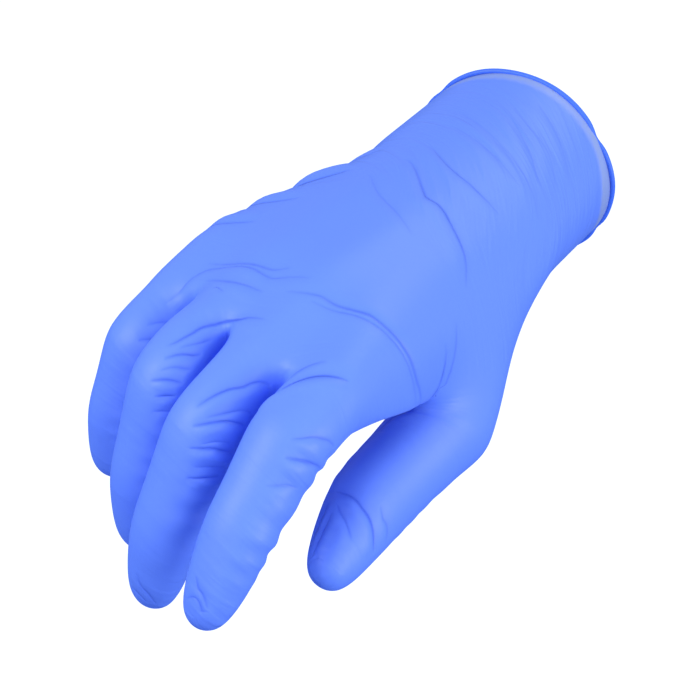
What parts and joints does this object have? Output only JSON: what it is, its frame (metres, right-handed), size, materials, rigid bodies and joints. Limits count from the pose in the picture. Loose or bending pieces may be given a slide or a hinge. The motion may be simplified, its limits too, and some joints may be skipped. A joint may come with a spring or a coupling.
{
  "type": "nitrile exam glove",
  "caption": "Thin exam glove for a right hand, hollow, keeping the form of a relaxed hand with curled fingers, with a rolled bead at the mouth of its cuff.",
  "frame": {"origin": "centre of the cuff's mouth", "axes": "+Y out of the cuff along the forearm, +Z from the palm towards the back of the hand, +X towards the thumb"},
  "size_m": [0.1046, 0.2188, 0.1067],
  "materials": {
    "nitrile": "satin, slightly see-through where one layer stands alone"
  },
  "bodies": {
    "root": {"glove": "nitrile"}
  },
  "joints": []
}
